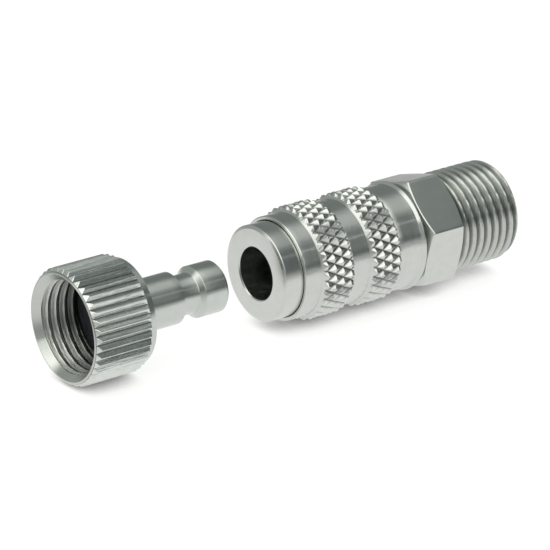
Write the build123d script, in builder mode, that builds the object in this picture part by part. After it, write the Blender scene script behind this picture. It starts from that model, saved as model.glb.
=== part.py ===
from build123d import *
import math
import os

# Quick disconnect coupler: an automatic socket with a knurled release sleeve and its plug.
# Millimetres.  The axis of flow is X, +X points out of the male thread, +Z is up.
# The origin is the centre of the shoulder where the male thread leaves the hexagon.
# Uncoupled: the sleeve is held back, the balls stand outward and the valve is shut.

os.makedirs("parts", exist_ok=True)

# Running gaps
slide_gap = 0.05
seal_gap = 0.02

# Socket nose and guide tube
mouth_x = -20.8
nose_r = 4.577
nose_len = 3.2
nose_edge_len = 0.17
nose_edge_drop = 0.31
tube_r = 3.60
bore_r = 2.52
mouth_edge = 0.10

# Locking balls
ball_count = 6
ball_r = 0.75
ball_x = mouth_x + 4.32
ball_out_r = 3.27
ball_hole_r = 0.78
ball_seat_r = 0.715
ball_seat_len = 0.50
ball_seat_depth = 0.17
ball_first_deg = 90.0

# Mouth seal groove
seal_groove_x = mouth_x + 6.0
seal_groove_w = 0.85
seal_groove_r = 3.12
seal_section_r = 0.30
plug_seal_gap = 0.03

# Valve seat, chamber and rear spigot
seat_x = mouth_x + 8.8
chamber_r = 3.00
adapter_x = mouth_x + 16.3
spigot_r = 3.50
spigot_len = 3.1

# Valve
valve_face_x = mouth_x + 4.22
valve_nose_r = 2.45
valve_bore_r = 1.35
valve_edge = 0.12
valve_bore_len = 3.70
valve_port_r = 0.50
valve_port_x = mouth_x + 7.30
valve_groove_x = mouth_x + 8.78
valve_groove_w = 0.85
valve_groove_r = 1.95
valve_disc_r = 2.60
valve_disc_w = 0.80
valve_boss_r = 1.60
valve_boss_len = 1.20
valve_boss_edge = 0.20
valve_point_len = 0.50
valve_port_reach = 3.50
valve_ring_gap = 0.005
valve_ring_r = 0.395
valve_ring_x = valve_groove_x + valve_groove_w / 2
valve_wire_r = 0.20
valve_coil_r = 2.10
valve_coils = 7.0

# End adapter
hex_flats = 10.0
hex_turn_deg = 43.5
hex_face_r = 4.60
hex_edge_slope = 0.45
hex_cone_over = 0.10
male_root_drop = 0.50
stop_x = adapter_x + 3.6
duct_r = 1.70
duct_step_x = 1.8
outlet_r = 2.75
outlet_edge = 0.25
outlet_cone_ratio = 0.60
body_seal_lip = 0.20
male_r = 4.864
male_len = 7.10
male_edge = 0.35

# Release sleeve
sleeve_x = mouth_x + 2.07
sleeve_band_r = 4.97
sleeve_rear_r = 5.05
sleeve_knurl_r = 5.43
sleeve_lip_r = 5.27
front_knurl_x = mouth_x + 4.35
front_knurl_end = mouth_x + 7.40
rear_knurl_x = mouth_x + 10.0
rear_knurl_end = mouth_x + 12.95
knurl_lead = 0.42
knurl_drop = 0.15
sleeve_end = mouth_x + 16.08
lip_len = 0.15
lip_lead = 0.22
lip_edge = 0.04
sleeve_front_edge = 0.09
counterbore_r = 4.64
pocket_x = mouth_x + 5.32
pocket_r = 4.10
land_x = pocket_x + 0.45
land_r = tube_r + slide_gap
land_end = mouth_x + 7.4
spring_room_r = 4.60
sleeve_wire_r = 0.25
sleeve_coil_r = 4.11
sleeve_coils = 6.0

# Plug, placed ahead of the socket on the same axis
plug_tip_x = mouth_x - 4.70
head_r = 2.44
head_len = 2.60
tip_edge = 0.25
cone_len = 0.34
neck_r = 1.90
neck_end = plug_tip_x - 4.95
shank_r = 2.45
nut_back_x = plug_tip_x - 9.97
nut_front_x = plug_tip_x - 16.68
nut_r = 5.47
nut_back_r = 5.00
nut_collar_r = 5.16
nut_collar_len = 0.85
nut_collar_step = 0.15
nut_front_edge_r = 5.10
nut_front_edge_w = 0.50
nut_mouth_r = 4.95
female_r = 4.283
female_x = nut_front_x + 0.67
female_end = nut_front_x + 4.6
undercut_r = 4.75
undercut_end = nut_front_x + 5.6
plug_bore_r = 1.35
plug_bore_edge = 0.20
gasket_r = 4.70
gasket_hole_r = 1.80
gasket_w = 0.95


# Socket body: nose ring, guide tube with ball holes, valve seat and threaded spigot
spigot_end = adapter_x + spigot_len
ball_seat_x = bore_r - ball_seat_depth
ball_seat_taper = math.degrees(math.atan((ball_hole_r - ball_seat_r) / ball_seat_len))
with BuildPart() as socket_body:
    with BuildSketch(Plane.XY):
        with BuildLine():
            Polyline(
                (mouth_x, bore_r + mouth_edge),
                (mouth_x, nose_r - nose_edge_drop),
                (mouth_x + nose_edge_len, nose_r),
                (mouth_x + nose_len, nose_r),
                (mouth_x + nose_len, tube_r),
                (adapter_x, tube_r),
                (adapter_x, spigot_r),
                (spigot_end, spigot_r),
                (spigot_end, chamber_r),
                (seat_x + chamber_r - bore_r, chamber_r),
                (seat_x, bore_r),
                (seal_groove_x + seal_groove_w, bore_r),
                (seal_groove_x + seal_groove_w, seal_groove_r),
                (seal_groove_x, seal_groove_r),
                (seal_groove_x, bore_r),
                (mouth_x + mouth_edge, bore_r),
                close=True,
            )
        make_face()
    revolve(axis=Axis.X)
    for i in range(ball_count):
        turn = math.radians(ball_first_deg + i * 360 / ball_count)
        out = (0, math.cos(turn), math.sin(turn))
        hole_plane = Plane(origin=(ball_x, 0, 0), x_dir=(1, 0, 0), z_dir=out)
        with BuildSketch(hole_plane.offset(ball_seat_x)):
            Circle(ball_seat_r)
        extrude(amount=ball_seat_len, taper=-ball_seat_taper, mode=Mode.SUBTRACT)
        with BuildSketch(hole_plane.offset(ball_seat_x + ball_seat_len)):
            Circle(ball_hole_r)
        extrude(amount=tube_r, mode=Mode.SUBTRACT)
socket_body.part.label = "socket_body"
export_step(socket_body.part, "parts/socket_body.step")


# Mouth seal: the ring that grips the plug
with BuildPart() as plug_seal:
    with BuildSketch(Plane.XY):
        with Locations((seal_groove_x + seal_groove_w / 2, head_r + plug_seal_gap + seal_section_r)):
            Circle(seal_section_r)
    revolve(axis=Axis.X)
plug_seal.part.label = "plug_seal"
export_step(plug_seal.part, "parts/plug_seal.step")


# End adapter: hexagon, male thread at its crest diameter, flow bore
with BuildPart() as end_adapter:
    with BuildSketch(Plane.YZ.offset(adapter_x)):
        RegularPolygon(hex_flats / 2, 6, major_radius=False, rotation=hex_turn_deg)
    extrude(amount=-adapter_x)
    hex_corner_r = hex_flats / math.sqrt(3)
    hex_cone_r = hex_corner_r + hex_cone_over
    hex_edge = (hex_cone_r - hex_face_r) * hex_edge_slope
    with BuildSketch(Plane.XY):
        with BuildLine():
            Polyline(
                (adapter_x, 0),
                (adapter_x, hex_face_r),
                (adapter_x + hex_edge, hex_cone_r),
                (-hex_edge, hex_cone_r),
                (0, hex_face_r),
                (0, 0),
                close=True,
            )
        make_face()
    revolve(axis=Axis.X, mode=Mode.INTERSECT)
    with BuildSketch(Plane.XY):
        with BuildLine():
            Polyline(
                (-male_root_drop, 0),
                (-male_root_drop, male_r - male_root_drop),
                (0, male_r),
                (male_len - male_edge, male_r),
                (male_len, male_r - male_edge),
                (male_len, 0),
                close=True,
            )
        make_face()
    revolve(axis=Axis.X)
    with BuildSketch(Plane.XY):
        with BuildLine():
            Polyline(
                (adapter_x, 0),
                (adapter_x, spigot_r),
                (stop_x, spigot_r),
                (stop_x, duct_r),
                (duct_step_x, duct_r),
                (duct_step_x + (outlet_r - duct_r) * outlet_cone_ratio, outlet_r),
                (male_len - outlet_edge, outlet_r),
                (male_len, outlet_r + outlet_edge),
                (male_len, 0),
                close=True,
            )
        make_face()
    revolve(axis=Axis.X, mode=Mode.SUBTRACT)
end_adapter.part.label = "end_adapter"
export_step(end_adapter.part, "parts/end_adapter.step")


# Body seal: flat ring clamped between the spigot and the adapter
with BuildPart() as body_seal:
    with BuildSketch(Plane.XY):
        with BuildLine():
            Polyline(
                (spigot_end, chamber_r - body_seal_lip),
                (spigot_end, spigot_r - slide_gap),
                (stop_x, spigot_r - slide_gap),
                (stop_x, chamber_r - body_seal_lip),
                close=True,
            )
        make_face()
    revolve(axis=Axis.X)
body_seal.part.label = "body_seal"
export_step(body_seal.part, "parts/body_seal.step")


# Release sleeve: plain bands, two knurled bands at crest diameter, end lip, ball land
with BuildPart() as release_sleeve:
    with BuildSketch(Plane.XY):
        with BuildLine():
            Polyline(
                (sleeve_x, counterbore_r),
                (sleeve_x, sleeve_band_r - sleeve_front_edge),
                (sleeve_x + sleeve_front_edge, sleeve_band_r),
                (front_knurl_x - knurl_lead, sleeve_band_r),
                (front_knurl_x, sleeve_knurl_r),
                (front_knurl_end, sleeve_knurl_r),
                (front_knurl_end + knurl_drop, sleeve_band_r),
                (rear_knurl_x - knurl_lead, sleeve_band_r),
                (rear_knurl_x, sleeve_knurl_r),
                (rear_knurl_end, sleeve_knurl_r),
                (rear_knurl_end + knurl_drop, sleeve_rear_r),
                (sleeve_end - lip_len - lip_lead, sleeve_rear_r),
                (sleeve_end - lip_len, sleeve_lip_r),
                (sleeve_end - lip_edge, sleeve_lip_r),
                (sleeve_end, sleeve_lip_r - lip_edge),
                (sleeve_end, spring_room_r),
                (land_end, spring_room_r),
                (land_end, land_r),
                (land_x, land_r),
                (pocket_x, pocket_r),
                (pocket_x, counterbore_r),
                close=True,
            )
        make_face()
    revolve(axis=Axis.X)
release_sleeve.part.label = "release_sleeve"
export_step(release_sleeve.part, "parts/release_sleeve.step")


# Locking balls, standing outward
for i in range(ball_count):
    turn = math.radians(ball_first_deg + i * 360 / ball_count)
    with BuildPart() as locking_ball:
        with Locations((ball_x, ball_out_r * math.cos(turn), ball_out_r * math.sin(turn))):
            Sphere(ball_r)
    locking_ball.part.label = f"locking_ball_{i + 1}"
    export_step(locking_ball.part, f"parts/locking_ball_{i + 1}.step")


# Valve piston: hollow nose with side ports, ring groove, disc and spring boss
disc_x = valve_groove_x + valve_groove_w
disc_end = disc_x + valve_disc_w
boss_end = disc_end + valve_boss_len
with BuildPart() as valve_piston:
    with BuildSketch(Plane.XY):
        with BuildLine():
            Polyline(
                (valve_face_x, valve_bore_r),
                (valve_face_x, valve_nose_r - valve_edge),
                (valve_face_x + valve_edge, valve_nose_r),
                (valve_groove_x, valve_nose_r),
                (valve_groove_x, valve_groove_r),
                (disc_x, valve_groove_r),
                (disc_x, valve_disc_r),
                (disc_end, valve_disc_r),
                (disc_end, valve_boss_r),
                (boss_end - valve_boss_edge, valve_boss_r),
                (boss_end, valve_boss_r - valve_boss_edge),
                (boss_end, 0),
                (valve_face_x + valve_bore_len + valve_point_len, 0),
                (valve_face_x + valve_bore_len, valve_bore_r),
                close=True,
            )
        make_face()
    revolve(axis=Axis.X)
    for side in (Plane.XY, Plane.XZ):
        with BuildSketch(side):
            with Locations((valve_port_x, 0)):
                Circle(valve_port_r)
        extrude(amount=valve_port_reach, both=True, mode=Mode.SUBTRACT)
valve_piston.part.label = "valve_piston"
export_step(valve_piston.part, "parts/valve_piston.step")


# Valve seal: ring in the piston groove, just off the seat cone
with BuildPart() as valve_seal:
    with BuildSketch(Plane.XY):
        with Locations((valve_ring_x, valve_groove_r + valve_ring_gap + valve_ring_r)):
            Circle(valve_ring_r)
    revolve(axis=Axis.X)
valve_seal.part.label = "valve_seal"
export_step(valve_seal.part, "parts/valve_seal.step")


# Valve spring: from the disc to the adapter stop
valve_spring_start = disc_end + valve_wire_r + seal_gap
valve_spring_rise = stop_x - valve_wire_r - seal_gap - valve_spring_start
with BuildPart() as valve_spring:
    with BuildLine():
        valve_wire = Helix(
            valve_spring_rise / valve_coils,
            valve_spring_rise,
            valve_coil_r,
            center=(valve_spring_start, 0, 0),
            direction=(1, 0, 0),
        )
    with BuildSketch(Plane(origin=valve_wire @ 0, z_dir=valve_wire % 0)):
        Circle(valve_wire_r)
    sweep(path=valve_wire, is_frenet=True)
valve_spring.part.label = "valve_spring"
export_step(valve_spring.part, "parts/valve_spring.step")


# Sleeve spring: from the ball land to the face of the hexagon
sleeve_spring_start = land_end + sleeve_wire_r + seal_gap
sleeve_spring_rise = adapter_x - sleeve_wire_r - seal_gap - sleeve_spring_start
with BuildPart() as sleeve_spring:
    with BuildLine():
        sleeve_wire = Helix(
            sleeve_spring_rise / sleeve_coils,
            sleeve_spring_rise,
            sleeve_coil_r,
            center=(sleeve_spring_start, 0, 0),
            direction=(1, 0, 0),
        )
    with BuildSketch(Plane(origin=sleeve_wire @ 0, z_dir=sleeve_wire % 0)):
        Circle(sleeve_wire_r)
    sweep(path=sleeve_wire, is_frenet=True)
sleeve_spring.part.label = "sleeve_spring"
export_step(sleeve_spring.part, "parts/sleeve_spring.step")


# Plug body: grooved nose, shank and knurled nut with a female thread at its minor diameter
with BuildPart() as plug_body:
    with BuildSketch(Plane.XY):
        with BuildLine():
            Polyline(
                (plug_tip_x, plug_bore_r + plug_bore_edge),
                (plug_tip_x, head_r - tip_edge),
                (plug_tip_x - tip_edge, head_r),
                (plug_tip_x - head_len, head_r),
                (plug_tip_x - head_len - cone_len, neck_r),
                (neck_end, neck_r),
                (neck_end, shank_r),
                (nut_back_x, shank_r),
                (nut_back_x, nut_back_r),
                (nut_back_x - nut_collar_len + nut_collar_step, nut_collar_r),
                (nut_back_x - nut_collar_len, nut_r),
                (nut_front_x + nut_front_edge_w, nut_r),
                (nut_front_x, nut_front_edge_r),
                (nut_front_x, nut_mouth_r),
                (female_x, female_r),
                (female_end, female_r),
                (female_end, undercut_r),
                (undercut_end, undercut_r),
                (undercut_end, plug_bore_r),
                (plug_tip_x - plug_bore_edge, plug_bore_r),
                close=True,
            )
        make_face()
    revolve(axis=Axis.X)
plug_body.part.label = "plug_body"
export_step(plug_body.part, "parts/plug_body.step")


# Plug gasket: flat ring at the bottom of the nut
with BuildPart() as plug_gasket:
    with BuildSketch(Plane.XY):
        with BuildLine():
            Polyline(
                (undercut_end - gasket_w, gasket_hole_r),
                (undercut_end - gasket_w, gasket_r),
                (undercut_end, gasket_r),
                (undercut_end, gasket_hole_r),
                close=True,
            )
        make_face()
    revolve(axis=Axis.X)
plug_gasket.part.label = "plug_gasket"
export_step(plug_gasket.part, "parts/plug_gasket.step")
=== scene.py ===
import math

import bpy
import numpy as np
from mathutils import Matrix, Vector


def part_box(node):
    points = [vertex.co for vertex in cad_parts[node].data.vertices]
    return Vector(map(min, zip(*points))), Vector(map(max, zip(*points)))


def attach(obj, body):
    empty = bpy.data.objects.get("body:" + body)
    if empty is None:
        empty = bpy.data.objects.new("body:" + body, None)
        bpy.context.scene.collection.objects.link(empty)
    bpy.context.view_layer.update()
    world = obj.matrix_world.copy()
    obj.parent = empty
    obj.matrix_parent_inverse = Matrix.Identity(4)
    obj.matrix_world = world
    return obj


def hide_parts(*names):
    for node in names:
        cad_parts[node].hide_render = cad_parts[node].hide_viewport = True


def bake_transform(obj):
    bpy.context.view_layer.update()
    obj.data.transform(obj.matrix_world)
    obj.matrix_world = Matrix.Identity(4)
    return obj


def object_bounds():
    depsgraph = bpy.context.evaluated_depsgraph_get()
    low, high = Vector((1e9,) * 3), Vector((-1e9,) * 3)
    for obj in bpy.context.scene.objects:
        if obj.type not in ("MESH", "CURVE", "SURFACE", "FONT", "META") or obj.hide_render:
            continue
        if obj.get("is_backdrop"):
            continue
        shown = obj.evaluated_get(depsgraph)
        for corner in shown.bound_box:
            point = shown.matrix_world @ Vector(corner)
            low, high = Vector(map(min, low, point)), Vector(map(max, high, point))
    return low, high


MM = 0.001
TURN = 2 * math.pi

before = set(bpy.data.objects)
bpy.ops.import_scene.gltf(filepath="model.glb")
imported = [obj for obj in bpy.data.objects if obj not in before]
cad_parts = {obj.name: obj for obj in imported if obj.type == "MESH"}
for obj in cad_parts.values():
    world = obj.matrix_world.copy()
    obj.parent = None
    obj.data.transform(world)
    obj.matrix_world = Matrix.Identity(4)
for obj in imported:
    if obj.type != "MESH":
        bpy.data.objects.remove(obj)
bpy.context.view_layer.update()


def span(node):
    """First x, last x and outer radius of a CAD node, in millimetres."""
    low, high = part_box(node)
    return low.x / MM, high.x / MM, high.y / MM


MOUTH, SPIGOT_END, NOSE_R = span("socket_body")
SLEEVE, SLEEVE_END, KNURL_R = span("release_sleeve")
ADAPTER, MALE_END, _ = span("end_adapter")
NUT, TIP, NUT_R = span("plug_body")


# ---------------------------------------------------------------- mesh helpers


def rounded(points):
    """Closed (x, r) outline from (x, r, corner radius) points, with each corner turned into an arc."""
    steps = 3
    pts = [np.array(p[:2], float) for p in points]
    radii = [p[2] for p in points]
    out = []
    count = len(pts)
    for i, p in enumerate(pts):
        a = pts[i - 1] - p
        b = pts[(i + 1) % count] - p
        la = np.linalg.norm(a)
        lb = np.linalg.norm(b)
        a = a / la
        b = b / lb
        half = math.acos(max(-1.0, min(1.0, float(a @ b)))) / 2
        if radii[i] <= 0 or half > math.radians(85):
            out.append(tuple(p))
            continue
        cut = min(radii[i] / math.tan(half), 0.45 * la, 0.45 * lb)
        r = cut * math.tan(half)
        centre = p + (a + b) / np.linalg.norm(a + b) * (r / math.sin(half))
        start = p + a * cut - centre
        end = p + b * cut - centre
        sweep = math.pi - 2 * half
        for k in range(steps + 1):
            t = k / steps
            v = (start * math.sin((1 - t) * sweep) + end * math.sin(t * sweep)) / math.sin(sweep)
            out.append(tuple(centre + v))
    return out


def fine(points, step):
    """Extra points along straight runs, so that long walls keep even quads."""
    out = []
    for i, p in enumerate(points):
        q = points[(i + 1) % len(points)]
        length = math.hypot(q[0] - p[0], q[1] - p[1])
        n = max(1, int(length / step))
        for k in range(n):
            t = k / n
            out.append((p[0] + (q[0] - p[0]) * t, p[1] + (q[1] - p[1]) * t))
    return out


def lathe(name, rings, count, first=0.0, triangles=False):
    """Closed skin around the X axis.  Each ring is (x, r), and x or r may vary with angle."""
    angle = first + np.arange(count) * TURN / count
    xs = np.array([np.broadcast_to(np.asarray(x, float), (count,)) for x, _ in rings])
    rs = np.array([np.broadcast_to(np.asarray(r, float), (count,)) for _, r in rings])
    co = np.stack([xs, rs * np.cos(angle), rs * np.sin(angle)], axis=-1)
    m = len(rings)
    i, j = np.meshgrid(np.arange(m), np.arange(count), indexing="ij")
    i1 = (i + 1) % m
    j1 = (j + 1) % count
    a = i * count + j
    b = i1 * count + j
    c = i1 * count + j1
    d = i * count + j1
    area = float(np.sum(xs[:, 0] * np.roll(rs[:, 0], -1) - np.roll(xs[:, 0], -1) * rs[:, 0]))
    if area < 0:
        b, d = d, b
    if triangles:
        flat = rs.ravel()
        ac = np.abs(flat[a] - flat[c]) <= np.abs(flat[b] - flat[d]) + 1e-9
        t1 = np.where(ac[..., None], np.stack([a, b, c], -1), np.stack([a, b, d], -1))
        t2 = np.where(ac[..., None], np.stack([a, c, d], -1), np.stack([b, c, d], -1))
        faces = np.concatenate([t1.reshape(-1, 3), t2.reshape(-1, 3)])
    else:
        faces = np.stack([a, b, c, d], -1).reshape(-1, 4)
    mesh = bpy.data.meshes.new(name)
    mesh.from_pydata((co.reshape(-1, 3) * MM).tolist(), [], faces.tolist())
    mesh.validate()
    obj = bpy.data.objects.new(name, mesh)
    bpy.context.scene.collection.objects.link(obj)
    smooth(obj)
    return obj


def smooth(obj, degrees=32):
    """Smooth shading, with edges sharper than the angle kept crisp."""
    mesh = obj.data
    mesh.polygons.foreach_set("use_smooth", [True] * len(mesh.polygons))
    mesh.set_sharp_from_angle(angle=math.radians(degrees))
    mesh.update()


def coil(name, x0, x1, radius, wire, turns):
    """Compression spring: the given number of open turns between two closed end turns."""
    dead = 0.9
    sides = 14
    per_turn = 60
    total = turns + 2 * dead
    n = int(total * per_turn)
    t = np.linspace(0, total, n + 1)
    gap = 2 * wire * 1.03
    open_pitch = (x1 - x0 - 2 * wire - 2 * dead * gap) / turns
    x = np.where(t < dead, t * gap, dead * gap + (t - dead) * open_pitch)
    x = np.where(t > total - dead, dead * gap + turns * open_pitch + (t - total + dead) * gap, x)
    x = x + x0 + wire
    phi = t * TURN
    centre = np.stack([x, radius * np.cos(phi), radius * np.sin(phi)], -1)
    tangent = np.gradient(centre, axis=0)
    tangent /= np.linalg.norm(tangent, axis=1)[:, None]
    out = np.stack([0 * x, np.cos(phi), np.sin(phi)], -1)
    side = np.cross(tangent, out)
    ring = np.arange(sides) * TURN / sides
    pts = (
        centre[:, None]
        + wire * np.cos(ring)[None, :, None] * out[:, None]
        + wire * np.sin(ring)[None, :, None] * side[:, None]
    )
    faces = []
    for i in range(n):
        for k in range(sides):
            k1 = (k + 1) % sides
            faces.append((i * sides + k, i * sides + k1, (i + 1) * sides + k1, (i + 1) * sides + k))
    faces.append(tuple(range(sides))[::-1])
    faces.append(tuple(n * sides + k for k in range(sides)))
    mesh = bpy.data.meshes.new(name)
    mesh.from_pydata((pts.reshape(-1, 3) * MM).tolist(), [], faces)
    obj = bpy.data.objects.new(name, mesh)
    bpy.context.scene.collection.objects.link(obj)
    smooth(obj, 60)
    return obj


def drill(obj, cutters):
    """Cuts the given pieces out of obj and removes them."""
    for cutter in cutters:
        m = obj.modifiers.new("cut", "BOOLEAN")
        m.operation = "DIFFERENCE"
        m.solver = "EXACT"
        m.object = cutter
    dg = bpy.context.evaluated_depsgraph_get()
    result = bpy.data.meshes.new_from_object(obj.evaluated_get(dg))
    obj.modifiers.clear()
    obj.data = result
    for cutter in cutters:
        bpy.data.objects.remove(cutter)
    smooth(obj)


# ---------------------------------------------------------------- materials


class Nodes:
    """Small helper that keeps node code short."""

    def __init__(self, tree):
        self.tree = tree

    def add(self, kind, **values):
        node = self.tree.nodes.new(kind)
        for key, value in values.items():
            setattr(node, key, value)
        return node

    def link(self, a, b):
        self.tree.links.new(a, b)

    def math(self, operation, a, b=None):
        node = self.add("ShaderNodeMath", operation=operation)
        for slot, value in ((0, a), (1, b)):
            if value is None:
                continue
            if isinstance(value, (int, float)):
                node.inputs[slot].default_value = value
            else:
                self.link(value, node.inputs[slot])
        return node.outputs[0]

    def step(self, value, low, high):
        """0 below low and 1 above high, or the other way round if high is below low."""
        node = self.add("ShaderNodeMapRange", interpolation_type="SMOOTHSTEP")
        a, b, start, end = (low, high, 0.0, 1.0) if low < high else (high, low, 1.0, 0.0)
        for slot, number in zip(("From Min", "From Max", "To Min", "To Max"), (a, b, start, end)):
            node.inputs[slot].default_value = number
        self.link(value, node.inputs["Value"])
        return node.outputs["Result"]

    def noise(self, vector, scale, detail=4.0, rough=0.55):
        node = self.add("ShaderNodeTexNoise")
        node.inputs["Scale"].default_value = scale
        node.inputs["Detail"].default_value = detail
        node.inputs["Roughness"].default_value = rough
        self.link(vector, node.inputs["Vector"])
        return node.outputs["Fac"]

    def join(self, x, y, z):
        node = self.add("ShaderNodeCombineXYZ")
        for slot, value in enumerate((x, y, z)):
            self.link(value, node.inputs[slot])
        return node.outputs[0]

    def ramp(self, value, stops):
        node = self.add("ShaderNodeValToRGB")
        ramp = node.color_ramp
        while len(ramp.elements) < len(stops):
            ramp.elements.new(0.5)
        for element, (place, level) in zip(ramp.elements, stops):
            element.position = place
            colour = level if isinstance(level, tuple) else (level, level, level)
            element.color = (*colour, 1.0)
        self.link(value, node.inputs["Fac"])
        return node.outputs["Color"]

    def mix(self, factor, a, b, blend="MIX"):
        node = self.add("ShaderNodeMix", data_type="RGBA", blend_type=blend, clamp_result=False)
        for slot, value in (("Factor", factor), ("A", a), ("B", b)):
            if isinstance(value, (int, float)):
                node.inputs[slot].default_value = value if slot == "Factor" else (value, value, value, 1)
            elif isinstance(value, tuple):
                node.inputs[slot].default_value = (*value, 1)
            else:
                self.link(value, node.inputs[slot])
        return node.outputs["Result"]

    def occlusion(self, distance, stops):
        """Painted shade: tone by how open a place is within a distance, where 0 is shut in and 1 is open.
        """
        node = self.add("ShaderNodeAmbientOcclusion", samples=8)
        node.inputs["Distance"].default_value = distance * MM
        return self.ramp(node.outputs["AO"], stops)

    def bump(self, height, strength, distance):
        node = self.add("ShaderNodeBump")
        node.inputs["Strength"].default_value = strength
        node.inputs["Distance"].default_value = distance * MM
        self.link(height, node.inputs["Height"])
        return node.outputs[0]


def new_material(name):
    """An empty material with a principled shader: the material, its node helper and the shader."""
    mat = bpy.data.materials.new(name)
    mat.use_nodes = True
    tree = mat.node_tree
    tree.nodes.clear()
    n = Nodes(tree)
    bsdf = n.add("ShaderNodeBsdfPrincipled")
    out = n.add("ShaderNodeOutputMaterial")
    n.link(bsdf.outputs[0], out.inputs["Surface"])
    return mat, n, bsdf


def polar(n):
    """Position in millimetres, and the same as (x, r, turn) round the X axis."""
    place = n.add("ShaderNodeTexCoord").outputs["Object"]
    scaled = n.add("ShaderNodeVectorMath", operation="SCALE")
    scaled.inputs["Scale"].default_value = 1 / MM
    n.link(place, scaled.inputs[0])
    split = n.add("ShaderNodeSeparateXYZ")
    n.link(scaled.outputs[0], split.inputs[0])
    x, y, z = split.outputs
    r = n.math("SQRT", n.math("ADD", n.math("MULTIPLY", y, y), n.math("MULTIPLY", z, z)))
    turn = n.math("ARCTAN2", z, y)
    return scaled.outputs[0], x, r, turn


def turned_metal(name, colour, rough, marks, spread):
    """Turned metal: tool marks run round the axis and smear reflections along it.

    marks is the strength of the marks' bump, and spread how much they smear.
    """
    fineness = 9.0
    mottling = 0.05
    mat, n, bsdf = new_material(name)
    place, x, r, turn = polar(n)
    across = n.join(n.math("MULTIPLY", x, fineness), n.math("MULTIPLY", r, fineness), turn)
    lines = n.noise(across, 1.0, 5.0, 0.6)
    cloud = n.noise(place, 0.9, 3.0)
    wobble = n.noise(place, 2.4, 2.0)
    speck = n.noise(place, 26.0, 2.0)
    tone = n.ramp(cloud, [(0.3, tuple(c * (1 - mottling) for c in colour)), (0.7, colour)])
    tone = n.mix(0.10, tone, n.ramp(lines, [(0.35, 0.70), (0.62, 1.0)]), "MULTIPLY")
    n.link(tone, bsdf.inputs["Base Color"])
    bsdf.inputs["Metallic"].default_value = 1.0
    level = n.math("ADD", n.math("MULTIPLY", speck, 0.06), n.math("MULTIPLY", lines, 0.05))
    n.link(n.math("ADD", level, rough), bsdf.inputs["Roughness"])
    bsdf.inputs["Anisotropic"].default_value = spread
    bsdf.inputs["Anisotropic Rotation"].default_value = 0.25
    tangent = n.add("ShaderNodeTangent", direction_type="RADIAL", axis="X")
    n.link(tangent.outputs[0], bsdf.inputs["Tangent"])
    height = n.math("ADD", lines, n.math("MULTIPLY", wobble, 1.2))
    n.link(n.bump(height, marks, 0.02), bsdf.inputs["Normal"])
    return mat


def rolled_metal(name, colour, rough, grooves, dents, grain=(1.0, 5.0), inner_shade=None):
    """Plated knurling, flutes and threads: groove bottoms painted darker, partly as dirt and partly as
    painted shade; smeared crests, small dents.

    grooves is (bottom radius, radius where the painted darkening stops, share of colour left at the
    bottom);
    grain is the pace of the dents along and round the axis;
    the last argument, if given, is painted shade deeper in a bore: (x where it starts, x where it is
    darkest, share of colour left there).
    """
    mat, n, bsdf = new_material(name)
    place, x, r, turn = polar(n)
    cloud = n.noise(place, 1.6, 4.0)
    along = n.join(n.math("MULTIPLY", x, grain[0]), r, n.math("MULTIPLY", turn, grain[1]))
    dent = n.noise(along, 6.0, 3.0, 0.6)
    speck = n.noise(place, 30.0, 2.0)
    # Painted darkening towards the groove bottoms: partly dirt, partly painted shade where the grooves
    # shut light out.
    wear = n.ramp(n.step(r, grooves[0], grooves[1]), [(0.0, grooves[2]), (1.0, 1.0)])
    tone = n.ramp(cloud, [(0.3, tuple(c * 0.90 for c in colour)), (0.7, colour)])
    # Painted shade: darker deeper inside the bore.
    if inner_shade:
        inner_shade_tone = n.ramp(n.step(x, inner_shade[0], inner_shade[1]), [(0.0, 1.0), (1.0, inner_shade[2])])
        wear = n.mix(1.0, wear, inner_shade_tone, "MULTIPLY")
    n.link(n.mix(1.0, tone, wear, "MULTIPLY"), bsdf.inputs["Base Color"])
    bsdf.inputs["Metallic"].default_value = 1.0
    n.link(n.math("ADD", n.math("MULTIPLY", speck, 0.12), rough), bsdf.inputs["Roughness"])
    n.link(n.bump(dent, dents, 0.04), bsdf.inputs["Normal"])
    return mat


def moulded(name, dark, light, rough, grain_scale):
    """Black rubber or acetal: faint mottling and a fine grain."""
    mat, n, bsdf = new_material(name)
    place = polar(n)[0]
    cloud = n.noise(place, 3.0, 3.0)
    grain = n.noise(place, grain_scale, 2.0)
    n.link(n.ramp(cloud, [(0.3, dark), (0.7, light)]), bsdf.inputs["Base Color"])
    n.link(n.math("ADD", n.math("MULTIPLY", grain, 0.2), rough), bsdf.inputs["Roughness"])
    n.link(n.bump(grain, 0.3, 0.01), bsdf.inputs["Normal"])
    return mat


NICKEL = (0.585, 0.605, 0.572)
WORN_NICKEL = (0.56, 0.585, 0.55)
KNURL_NICKEL = (0.62, 0.64, 0.61)
FLUTE_NICKEL = (0.68, 0.71, 0.67)
THREAD_NICKEL = (0.50, 0.525, 0.49)
INSIDE_NICKEL = (0.62, 0.64, 0.60)
DARK_ACETAL = (0.014, 0.017, 0.017)
LIGHT_ACETAL = (0.025, 0.029, 0.029)
DARK_RUBBER = (0.018, 0.023, 0.024)
LIGHT_RUBBER = (0.032, 0.039, 0.040)
ALONG_FLUTES = (0.06, 6.0)
ALONG_THREAD = (3.0, 1.5)
# Painted shade deeper inside the nut: x where it starts, x where it is darkest, share of colour left
# there.
NUT_INNER_SHADE = (NUT + 1.6, NUT + 4.2, 0.30)

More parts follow.
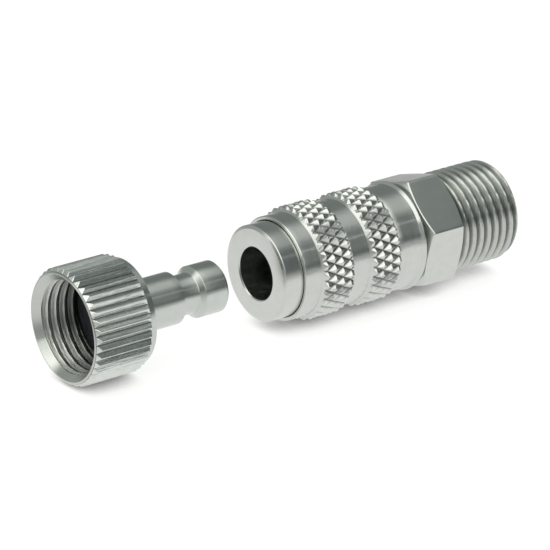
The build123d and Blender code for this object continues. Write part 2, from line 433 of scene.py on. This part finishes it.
nickel_body = turned_metal("nickel_body", NICKEL, 0.17, marks=0.12, spread=0.2)
nickel_band = turned_metal("nickel_band", NICKEL, 0.17, marks=0.30, spread=0.9)
nickel_plug = turned_metal("nickel_plug", WORN_NICKEL, 0.19, marks=0.18, spread=0.8)
# Groove bottoms of these pieces are painted darker: partly dirt, partly painted shade.
nickel_knurl = rolled_metal("nickel_knurl", KNURL_NICKEL, 0.13, (5.12, 5.26, 0.38), 0.35)
nickel_flute = rolled_metal("nickel_flute", FLUTE_NICKEL, 0.16, (5.13, 5.20, 0.25), 0.9, ALONG_FLUTES)
nickel_thread = rolled_metal("nickel_thread", THREAD_NICKEL, 0.14, (4.46, 4.76, 0.25), 0.35, ALONG_THREAD)
nickel_inside = rolled_metal(
    "nickel_inside", INSIDE_NICKEL, 0.24, (4.70, 4.58, 0.4), 0.6, ALONG_THREAD, NUT_INNER_SHADE
)
ball_steel = turned_metal("ball_steel", (0.56, 0.57, 0.57), 0.06, marks=0.05, spread=0.0)
spring_steel = turned_metal("spring_steel", (0.40, 0.41, 0.42), 0.25, marks=0.3, spread=0.0)
black_acetal = moulded("black_acetal", DARK_ACETAL, LIGHT_ACETAL, 0.35, 30.0)
black_rubber = moulded("black_rubber", DARK_RUBBER, LIGHT_RUBBER, 0.45, 40.0)


def dress(obj, slot, *materials):
    """Gives a piece its materials; the slot argument is not used."""
    obj.data.materials.clear()
    for mat in materials:
        obj.data.materials.append(mat)


def paint_range(obj, index, x0, x1, r0=0.0, r1=99.0):
    """Gives the faces between two places along the axis, and between two radii, another material."""
    mesh = obj.data
    centre = np.zeros(len(mesh.polygons) * 3)
    mesh.polygons.foreach_get("center", centre)
    centre = centre.reshape(-1, 3) / MM
    radius = np.hypot(centre[:, 1], centre[:, 2])
    chosen = (centre[:, 0] > x0) & (centre[:, 0] < x1) & (radius > r0) & (radius < r1)
    current = np.zeros(len(mesh.polygons), dtype=np.int32)
    mesh.polygons.foreach_get("material_index", current)
    mesh.polygons.foreach_set("material_index", np.where(chosen, index, current).astype(np.int32))


# ---------------------------------------------------------------- socket body

TUBE_R = 3.60
SPIGOT_R = 3.50
CHAMBER_R = 3.00
BORE_R = 2.52
GROOVE_R = 3.12
NOSE_END = MOUTH + 3.2
GROOVE = (MOUTH + 6.0, MOUTH + 6.85)
SEAT = MOUTH + 8.8
MOUTH_EDGE = 0.10
NOSE_EDGE = 0.17
NOSE_EDGE_DROP = 0.31
BALLS = 6
BALL_X = MOUTH + 4.32
BALL_HOLE_R = 0.80
BALL_SEAT_R = 0.735
BALL_SEAT = BORE_R - 0.17
BALL_SEAT_LEN = 0.50


def ball_hole(turn):
    """Cutter for one ball hole: straight, with a narrow seat towards the bore."""
    centre = 0.001
    outside = TUBE_R + 0.4
    rings = [
        (BALL_SEAT, centre),
        (BALL_SEAT, BALL_SEAT_R),
        (BALL_SEAT + BALL_SEAT_LEN, BALL_HOLE_R),
        (outside, BALL_HOLE_R),
        (outside, centre),
    ]
    hole = lathe("ball_hole", rings, 48)
    out = Vector((0, math.cos(turn), math.sin(turn)))
    side = Vector((0, -math.sin(turn), math.cos(turn)))
    place = Matrix((out, side, Vector((1, 0, 0)))).transposed().to_4x4()
    place.translation = Vector((BALL_X * MM, 0, 0))
    hole.data.transform(place)
    return hole


def socket_body():
    """Nose ring, guide tube with ball holes, seat and spigot."""
    outline = rounded(
        [
            (MOUTH, BORE_R + MOUTH_EDGE, 0.03),
            (MOUTH, NOSE_R - NOSE_EDGE_DROP, 0.03),
            (MOUTH + NOSE_EDGE - 0.06, NOSE_R - 0.05, 0.06),
            (MOUTH + NOSE_EDGE, NOSE_R, 0.06),
            (NOSE_END, NOSE_R, 0.05),
            (NOSE_END, TUBE_R, 0.05),
            (ADAPTER, TUBE_R, 0.05),
            (ADAPTER, SPIGOT_R, 0.02),
            (SPIGOT_END, SPIGOT_R, 0.05),
            (SPIGOT_END, CHAMBER_R, 0.05),
            (SEAT + CHAMBER_R - BORE_R, CHAMBER_R, 0.05),
            (SEAT, BORE_R, 0.03),
            (GROOVE[1], BORE_R, 0.03),
            (GROOVE[1], GROOVE_R, 0.03),
            (GROOVE[0], GROOVE_R, 0.03),
            (GROOVE[0], BORE_R, 0.03),
            (MOUTH + MOUTH_EDGE, BORE_R, 0.03),
        ]
    )
    body = lathe("socket_body_skin", fine(outline, 0.6), 192)
    drill(body, [ball_hole(TURN * (0.25 + i / BALLS)) for i in range(BALLS)])
    dress(body, "nickel_body", nickel_body)
    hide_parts("socket_body")
    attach(body, "socket")


socket_body()


# ---------------------------------------------------------------- release sleeve

BAND_R = 4.97
REAR_R = 5.05
LIP_R = 5.27
LIP_LEN = 0.15
LIP_LEAD = 0.22
FRONT_EDGE = 0.09
COUNTERBORE_R = 4.64
SPRING_ROOM_R = 4.60
LAND_R = TUBE_R + 0.05
POCKET_R = 4.10
POCKET = MOUTH + 5.32
LAND_END = MOUTH + 7.4
KNURL_BANDS = ((MOUTH + 4.35, MOUTH + 7.40), (MOUTH + 10.0, MOUTH + 12.95))
KNURL_LEAD = 0.42
KNURL_DROP = 0.15
KNURLS = 33
KNURL_HALF = 0.905
KNURL_DEPTH = 0.30
KNURL_FLAT = 0.86
KNURL_START = 0.06
# Mesh steps to half a diamond, and the whole number of them that the pattern is turned by.
KNURL_STEP = 13
KNURL_TURN = 8
SLEEVE_COUNT = KNURLS * 2 * KNURL_STEP


def knurl_height(across, along):
    """Pyramids between two crossing families of grooves: 0 in a groove, 1 on a point."""
    u = (across + along) / 2
    v = (across - along) / 2
    g = 1 - np.abs(2 * (u - np.floor(u)) - 1)
    h = 1 - np.abs(2 * (v - np.floor(v)) - 1)
    low = np.minimum(g, h)
    return np.minimum(low, KNURL_FLAT) / KNURL_FLAT


def knurled_band(crest_start, crest_end):
    """Rings of a diamond knurled band with a coned lead and a steep end."""
    start = crest_start - KNURL_LEAD
    end = crest_end + KNURL_DROP
    phase = crest_start + KNURL_START
    step = KNURL_HALF / KNURL_STEP
    across = (np.arange(SLEEVE_COUNT) + KNURL_TURN) / KNURL_STEP
    first = math.ceil((start - phase) / step + 0.2)
    last = math.floor((end - phase) / step - 0.2)
    places = [start] + [phase + k * step for k in range(first, last + 1)] + [end]
    rings = []
    for x in places:
        height = knurl_height(across, (x - phase) / KNURL_HALF)
        r = KNURL_R - KNURL_DEPTH * (1 - height)
        lead = BAND_R + (KNURL_R - BAND_R) * (x - start) / KNURL_LEAD
        drop = BAND_R + (KNURL_R - BAND_R) * (end - x) / KNURL_DROP
        rings.append((x, np.minimum(r, min(lead, drop))))
    return rings


def evenly(start, end, step, radius):
    """Rings on a plain cylinder between two places, without the two end rings."""
    n = max(2, int(round(abs(end - start) / step)))
    return [(start + (end - start) * k / n, radius) for k in range(1, n)]


def release_sleeve():
    """Plain bands, two knurled bands, lip and ball land."""
    front_end = SLEEVE + 0.8
    front_inside = SLEEVE + 0.6
    lip_start = SLEEVE_END - 1.0
    room_start = LAND_END + 0.6
    pocket_start = POCKET - 0.7
    front = rounded(
        [
            (front_inside, COUNTERBORE_R, 0),
            (SLEEVE, COUNTERBORE_R, 0.03),
            (SLEEVE, BAND_R - FRONT_EDGE, 0.03),
            (SLEEVE + FRONT_EDGE, BAND_R, 0.04),
            (front_end, BAND_R, 0),
        ]
    )
    lip = rounded(
        [
            (lip_start, REAR_R, 0),
            (SLEEVE_END - LIP_LEN - LIP_LEAD, REAR_R, 0.03),
            (SLEEVE_END - LIP_LEN, LIP_R, 0.06),
            (SLEEVE_END, LIP_R, 0.05),
            (SLEEVE_END, SPRING_ROOM_R, 0.04),
            (lip_start, SPRING_ROOM_R, 0),
        ]
    )
    inside = rounded(
        [
            (room_start, SPRING_ROOM_R, 0),
            (LAND_END, SPRING_ROOM_R, 0.05),
            (LAND_END, LAND_R, 0.04),
            (POCKET + POCKET_R - LAND_R, LAND_R, 0.03),
            (POCKET, POCKET_R, 0.03),
            (POCKET, COUNTERBORE_R, 0.04),
            (pocket_start, COUNTERBORE_R, 0),
        ]
    )
    rings = list(front)
    place = front_end
    for crest_start, crest_end in KNURL_BANDS:
        rings += evenly(place, crest_start - KNURL_LEAD, 0.35, BAND_R)
        rings += knurled_band(crest_start, crest_end)
        place = crest_end + KNURL_DROP
    rings += evenly(place, lip_start, 0.35, REAR_R)
    rings += lip
    rings += evenly(lip_start, room_start, 1.5, SPRING_ROOM_R)
    rings += inside
    rings += evenly(pocket_start, front_inside, 1.0, COUNTERBORE_R)
    sleeve = lathe("release_sleeve_skin", rings, SLEEVE_COUNT, triangles=True)
    dress(sleeve, "nickel_sleeve", nickel_band, nickel_knurl)
    for crest_start, crest_end in KNURL_BANDS:
        paint_range(sleeve, 1, crest_start - 0.02, crest_end + 0.12, BAND_R + 0.01)
    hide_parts("release_sleeve")
    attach(sleeve, "sleeve")


release_sleeve()


# ---------------------------------------------------------------- end adapter

PITCH = 0.907
CREST = 4.864
ROOT = 4.283
THREAD_DEPTH = 0.40
HEX_APOTHEM = 5.0
HEX_TURN = math.radians(43.5)
HEX_FACE_R = 4.60
HEX_SLOPE = 0.45
HEX_EDGE = 0.09
DUCT_R = 1.70
DUCT_END = 1.8
OUTLET_R = 2.75
OUTLET_CONE_RATIO = 0.60
OUTLET_EDGE = 0.25
STOP = ADAPTER + 3.6
# The first crest stands this far from the shoulder at this turn, in millimetres and degrees.
FIRST_CREST = 0.60
FIRST_CREST_TURN = 153
THREAD_RUN_IN = 0.30
THREAD_CONE = 0.60
THREAD_CONE_DROP = 0.36
THREAD_STEPS = 24


def thread_shape(u):
    """Worn, rounded thread profile: 1 on the crests at whole numbers and 0 in the roots."""
    wear = 1.12
    wave = 0.5 + 0.5 * np.cos(u * TURN)
    return np.clip(wave * wear, 0, 1)


def hexagon(phi):
    """Radius of the hexagon, with corners that are just broken."""
    sharp = 120
    total = np.zeros(len(phi))
    for k in range(6):
        facing = np.cos(phi - HEX_TURN - math.radians(30 + 60 * k))
        total += np.clip(facing, 1e-6, 1) ** sharp
    return HEX_APOTHEM / total ** (1 / sharp)


def end_adapter():
    """Hexagon and male thread in one skin, with the flow bore inside."""
    count = 576
    wall = 0.75
    phi = HEX_TURN + np.arange(count) * TURN / count
    six = hexagon(phi)
    lift = (six - HEX_FACE_R) * HEX_SLOPE
    rings = [(ADAPTER, 3.55), (ADAPTER, 4.30), (ADAPTER, HEX_FACE_R - 0.05), (ADAPTER + 0.015, HEX_FACE_R)]
    inner = [(lift * t, HEX_FACE_R + (six - HEX_FACE_R) * t) for t in (0.25, 0.5, 0.75)]
    corner = []
    for t in np.linspace(0, 1, 6):
        x = lift - HEX_EDGE * HEX_SLOPE * (1 - t) ** 2 + 1.2 * HEX_EDGE * t**2
        corner.append((x, six - HEX_EDGE * (1 - t) ** 2))
    rings += [(ADAPTER + x, r) for x, r in inner + corner]
    rings += evenly(ADAPTER + wall, -wall, 0.8, six)
    rings += [(-x, r) for x, r in (inner + corner)[::-1]]
    end = MALE_END - 0.10
    n = int(end / PITCH * THREAD_STEPS)
    phase = FIRST_CREST - PITCH * math.radians(FIRST_CREST_TURN) / TURN
    for i in range(n + 1):
        x = end * i / n
        shape = thread_shape((x - phase) / PITCH - phi / TURN)
        fade = min(1.0, x / THREAD_RUN_IN)
        r = CREST - THREAD_DEPTH * (1 - shape * fade)
        left = (MALE_END - x) / THREAD_CONE
        cone = CREST - THREAD_CONE_DROP * max(0.0, 1 - left) ** 1.4
        rings.append((x, np.minimum(r, cone)))
    rings += rounded(
        [
            (end, 4.30, 0),
            (MALE_END, 4.25, 0.05),
            (MALE_END, OUTLET_R + OUTLET_EDGE, 0.04),
            (MALE_END - OUTLET_EDGE, OUTLET_R, 0.05),
            (DUCT_END + (OUTLET_R - DUCT_R) * OUTLET_CONE_RATIO, OUTLET_R, 0.05),
            (DUCT_END, DUCT_R, 0.05),
            (STOP, DUCT_R, 0.05),
            (STOP, SPIGOT_R, 0.03),
            (ADAPTER + 0.1, SPIGOT_R, 0),
        ]
    )
    adapter = lathe("end_adapter_skin", rings, count, HEX_TURN)
    dress(adapter, "nickel_body", nickel_body, nickel_thread)
    paint_range(adapter, 1, 0.02, end, 4.2)
    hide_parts("end_adapter")
    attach(adapter, "socket")


end_adapter()


# ---------------------------------------------------------------- plug

HEAD_R = 2.44
NECK_R = 1.90
SHANK_R = 2.45
HEAD_LEN = 2.60
CONE_LEN = 0.34
NECK_END = TIP - 4.95
NUT_BACK = TIP - 9.97
NUT_BACK_R = 5.00
NUT_COLLAR_R = 5.16
NUT_COLLAR = 0.85
NUT_COLLAR_STEP = 0.15
NUT_FRONT_R = 5.10
NUT_FRONT_EDGE = 0.50
NUT_MOUTH_R = 4.95
NUT_MOUTH_CONE = 0.67
UNDERCUT = (NUT + 4.6, NUT + 5.6)
UNDERCUT_R = 4.75
PLUG_BORE_R = 1.35
PLUG_BORE_EDGE = 0.20
TIP_EDGE = 0.25
INNER_STEPS = 16
# The inner thread is cut to its full depth between these two depths in the nut.
INNER_FADE = (0.5, 0.9)
FLUTES = 40
FLUTE_STEPS = 16
FLUTE_DEPTH = 0.33
FLUTE_COUNT = FLUTES * FLUTE_STEPS


def plug_body():
    """Fluted nut, shank and grooved nose in one skin, with the inner thread in the nut."""
    phi = np.arange(FLUTE_COUNT) * TURN / FLUTE_COUNT
    t = np.abs(2 * (phi * FLUTES / TURN - np.floor(phi * FLUTES / TURN)) - 1)
    tooth = NUT_R - FLUTE_DEPTH * np.clip((t - 0.06) / 0.90, 0, 1)
    rings = [(NUT + 0.03, NUT_MOUTH_R - 0.03), (NUT, NUT_MOUTH_R), (NUT, NUT_FRONT_R - 0.05)]
    rings += [(NUT + 0.02, NUT_FRONT_R - 0.01)]
    rise = (NUT_R - NUT_FRONT_R) / NUT_FRONT_EDGE
    for d in np.linspace(0.04, NUT_FRONT_EDGE + 0.02, 18):
        rings.append((NUT + d, np.minimum(tooth, NUT_FRONT_R + d * rise)))
    collar = NUT_BACK - NUT_COLLAR
    rings += [(x, tooth) for x, _ in evenly(NUT + NUT_FRONT_EDGE, collar, 0.8, 0)]
    fall = (NUT_R - NUT_COLLAR_R) / NUT_COLLAR_STEP
    for d in np.linspace(0.0, NUT_COLLAR_STEP, 7):
        rings.append((collar + d, np.minimum(tooth, NUT_R - d * fall)))
    slope = (NUT_COLLAR_R - NUT_BACK_R) / (NUT_COLLAR - NUT_COLLAR_STEP)
    plain = evenly(collar + NUT_COLLAR_STEP, NUT_BACK - 0.04, 0.2, 0)
    rings += [(x, NUT_BACK_R + (NUT_BACK - x) * slope) for x, _ in plain]
    for back, drop in ((0.03, 0.0), (0.01, 0.01), (0.0, 0.06)):
        rings.append((NUT_BACK - back, NUT_BACK_R - drop))
    nose = rounded(
        [
            (NUT_BACK, 4.2, 0),
            (NUT_BACK, SHANK_R, 0.12),
            (NECK_END, SHANK_R, 0.05),
            (NECK_END, NECK_R, 0.08),
            (TIP - HEAD_LEN - CONE_LEN, NECK_R, 0.08),
            (TIP - HEAD_LEN, HEAD_R, 0.06),
            (TIP - TIP_EDGE, HEAD_R, 0.06),
            (TIP, HEAD_R - TIP_EDGE, 0.04),
            (TIP, PLUG_BORE_R + PLUG_BORE_EDGE, 0.03),
            (TIP - PLUG_BORE_EDGE, PLUG_BORE_R, 0.03),
            (UNDERCUT[1], PLUG_BORE_R, 0.03),
            (UNDERCUT[1], UNDERCUT_R, 0.05),
            (UNDERCUT[0], UNDERCUT_R, 0.03),
            (UNDERCUT[0], 4.45, 0),
        ]
    )
    rings += fine(nose, 0.8)[:-1]
    start = UNDERCUT[0] - 0.05
    n = int((start - NUT) / PITCH * INNER_STEPS)
    slope = (NUT_MOUTH_R - ROOT) / NUT_MOUTH_CONE
    for i in range(n + 1):
        x = start - (start - NUT - 0.05) * i / n
        depth = x - NUT
        fade = float(np.interp(depth, INNER_FADE, (0, 1)))
        cut = THREAD_DEPTH * fade * (1 - thread_shape(x / PITCH - phi / TURN))
        rings.append((x, np.maximum(ROOT + cut, NUT_MOUTH_R - depth * slope)))
    plug = lathe("plug_body_skin", rings, FLUTE_COUNT)
    dress(plug, "nickel_plug", nickel_plug, nickel_flute, nickel_inside)
    paint_range(plug, 1, NUT + 0.03, collar + 0.13, NUT_BACK_R)
    paint_range(plug, 2, NUT + 0.60, UNDERCUT[1] + 0.02, ROOT - 0.10, NUT_MOUTH_R)
    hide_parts("plug_body")
    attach(plug, "plug")


plug_body()


# ---------------------------------------------------------------- springs

SPRING_GAP = 0.02
SLEEVE_WIRE = 0.25
SLEEVE_COIL_R = 4.11
VALVE_WIRE = 0.20
VALVE_COIL_R = 2.10


def fit_spring(spring, node):
    """The spring takes a node's place."""
    dress(spring, "spring_steel", spring_steel)
    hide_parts(node)
    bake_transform(spring)


def springs():
    """Sleeve spring from the ball land to the hexagon, valve spring from the disc to the stop."""
    first, last = LAND_END + SPRING_GAP, ADAPTER - SPRING_GAP
    spring = coil("sleeve_spring_wire", first, last, SLEEVE_COIL_R, SLEEVE_WIRE, 4.6)
    fit_spring(spring, "sleeve_spring")
    first, last = span("valve_spring")[0], STOP - SPRING_GAP
    spring = coil("valve_spring_wire", first, last, VALVE_COIL_R, VALVE_WIRE, 6.0)
    fit_spring(spring, "valve_spring")


springs()


# ---------------------------------------------------------------- small parts kept from the frame

for i in range(1, BALLS + 1):
    dress(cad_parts[f"locking_ball_{i}"], "ball_steel", ball_steel)
dress(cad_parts["valve_piston"], "black_acetal", black_acetal)
for name in ("valve_seal", "plug_seal", "body_seal", "plug_gasket"):
    dress(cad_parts[name], "black_rubber", black_rubber)


# ---------------------------------------------------------------- stage

WHITE = 1.04


def stage():
    """Pale table that glows, with a narrow contact shadow painted into its glow; in mirrors its glow is
    painted dimmer far away and its painted shadow is fainter.
    """
    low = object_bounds()[0]
    half = 3.0
    corners = [(x, y, low.z) for x, y in ((-half, -half), (half, -half), (half, half), (-half, half))]
    mesh = bpy.data.meshes.new("floor")
    mesh.from_pydata(corners, [], [(0, 1, 2, 3)])
    floor = bpy.data.objects.new("floor", mesh)
    bpy.context.scene.collection.objects.link(floor)
    mat = bpy.data.materials.new("floor_card")
    mat.use_nodes = True
    mat.node_tree.nodes.clear()
    n = Nodes(mat.node_tree)
    # Painted contact shadow: the glow is darkened where the table is shut in by the coupler, tightly near
    # the contact and faintly further out.
    near = n.occlusion(2.6, [(0.0, 0.10), (0.10, 0.34), (0.25, 0.72), (0.48, 1.0)])
    wide_painted_shadow = n.occlusion(8.0, [(0.0, 0.76), (0.25, 0.86), (0.62, 1.0)])
    level = n.mix(1.0, near, wide_painted_shadow, "MULTIPLY")
    place = polar(n)[0]
    card = n.noise(place, 0.04, 2.0)
    reach = n.add("ShaderNodeVectorMath", operation="LENGTH")
    n.link(place, reach.inputs[0])
    # Painted reflection tone: mirror rays see the glow dimmer far from the coupler.
    far = n.math("MULTIPLY", n.step(reach.outputs["Value"], 25.0, 100.0), -0.48)
    mirrored = n.add("ShaderNodeLightPath").outputs["Is Glossy Ray"]
    strength = n.math("ADD", n.math("MULTIPLY", far, mirrored), WHITE)
    tint = n.ramp(card, [(0.3, (1.0, 1.0, 0.985)), (0.7, (1.0, 1.0, 0.995))])
    level = n.mix(1.0, level, tint, "MULTIPLY")
    # Mirror rays see the painted shadow only faintly.
    level = n.mix(n.math("MULTIPLY", mirrored, 0.7), level, 1.0)
    glow = n.add("ShaderNodeEmission")
    n.link(strength, glow.inputs["Strength"])
    n.link(level, glow.inputs["Color"])
    out = n.add("ShaderNodeOutputMaterial")
    n.link(glow.outputs[0], out.inputs["Surface"])
    mesh.materials.append(mat)
    floor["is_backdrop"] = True


def studio():
    """White room for the camera and for soft light; metal sees bands of tone and one softbox.

    The bands follow the fan angle, in degrees: 0 is +Y and 90 is up.  The skin of any round piece
    along X that faces a given angle mirrors the band of that angle, seen from the camera.
    """
    # The line of sight from the camera to the middle of the coupler.
    sight_y = 0.744
    sight_z = -0.365
    world = bpy.data.worlds.new("studio")
    bpy.context.scene.world = world
    world.use_nodes = True
    world.node_tree.nodes.clear()
    n = Nodes(world.node_tree)
    split = n.add("ShaderNodeSeparateXYZ")
    n.link(n.add("ShaderNodeTexCoord").outputs["Generated"], split.inputs[0])
    x, y, z = split.outputs
    fan = n.math("ARCTAN2", n.math("SUBTRACT", z, sight_z), n.math("SUBTRACT", y, sight_y))
    fan = n.math("MULTIPLY", fan, 180 / math.pi)
    top = (0.235, 0.26, 0.255)
    grey = (0.43, 0.46, 0.45)
    fall = (0.31, 0.335, 0.33)
    low = (0.235, 0.26, 0.26)
    dim = (0.125, 0.145, 0.145)
    line = 0.6
    stops = [(60, top), (107, top), (117, grey), (130, grey)]
    stops += [(132.5, fall), (135, low), (139, dim)]
    stops += [(143.6, dim), (144, line), (144.8, line), (145.4, dim)]
    stops += [(163, dim), (167.5, 0.6), (180, 0.8)]
    room = n.ramp(n.math("DIVIDE", fan, 180.0), [(angle / 180, level) for angle, level in stops])
    # Mirrors that look back towards -X see a lighter wall.
    behind = (0.47, 0.49, 0.48)
    room = n.mix(n.math("MULTIPLY", n.step(x, 0.38, 0.22), 0.85), room, behind)
    # The softbox reaches further along X near its top, and hangs lower for mirrors that look well back.
    reach = n.math("ADD", n.math("MULTIPLY", n.step(fan, 140, 122), 0.16), 0.20)
    lower = n.math("MULTIPLY", n.step(x, -0.45, -0.25), 11.0)
    box = n.math("MULTIPLY", n.step(fan, 102, 118), n.step(n.math("SUBTRACT", fan, lower), 148.5, 147))
    box = n.math("MULTIPLY", box, n.step(n.math("SUBTRACT", x, reach), 0.20, -0.20))
    box = n.math("MULTIPLY", box, n.step(x, -0.90, -0.84))
    room = n.mix(box, room, (1.75, 1.76, 1.70))
    ray = n.add("ShaderNodeLightPath")
    plain = n.math("MAXIMUM", ray.outputs["Is Camera Ray"], ray.outputs["Is Diffuse Ray"])
    background = n.add("ShaderNodeBackground")
    n.link(n.mix(plain, room, WHITE), background.inputs["Color"])
    out = n.add("ShaderNodeOutputWorld")
    n.link(background.outputs[0], out.inputs["Surface"])


def camera():
    """Long lens, 22 degrees above the floor, looking along the coupler from the plug end."""
    rise = math.radians(22.0)
    swing = math.radians(52.76)
    away = 333.3
    aside = 1.788
    down = 0.108
    right = Vector((math.sin(swing), -math.cos(swing), 0))
    ahead = Vector((math.cos(swing) * math.cos(rise), math.sin(swing) * math.cos(rise), -math.sin(rise)))
    up = right.cross(ahead)
    data = bpy.data.cameras.new("camera")
    data.sensor_width = 36
    data.lens = 237.4
    data.clip_start = 0.01
    data.clip_end = 20
    cam = bpy.data.objects.new("camera", data)
    bpy.context.scene.collection.objects.link(cam)
    place = (right * aside - up * down - ahead * away + Vector((MOUTH, 0, 0))) * MM
    turn = Matrix((right, up, -ahead)).transposed().to_4x4()
    turn.translation = place
    cam.matrix_world = turn
    bpy.context.scene.camera = cam


stage()
studio()
camera()
bpy.context.scene.view_settings.view_transform = "Standard"
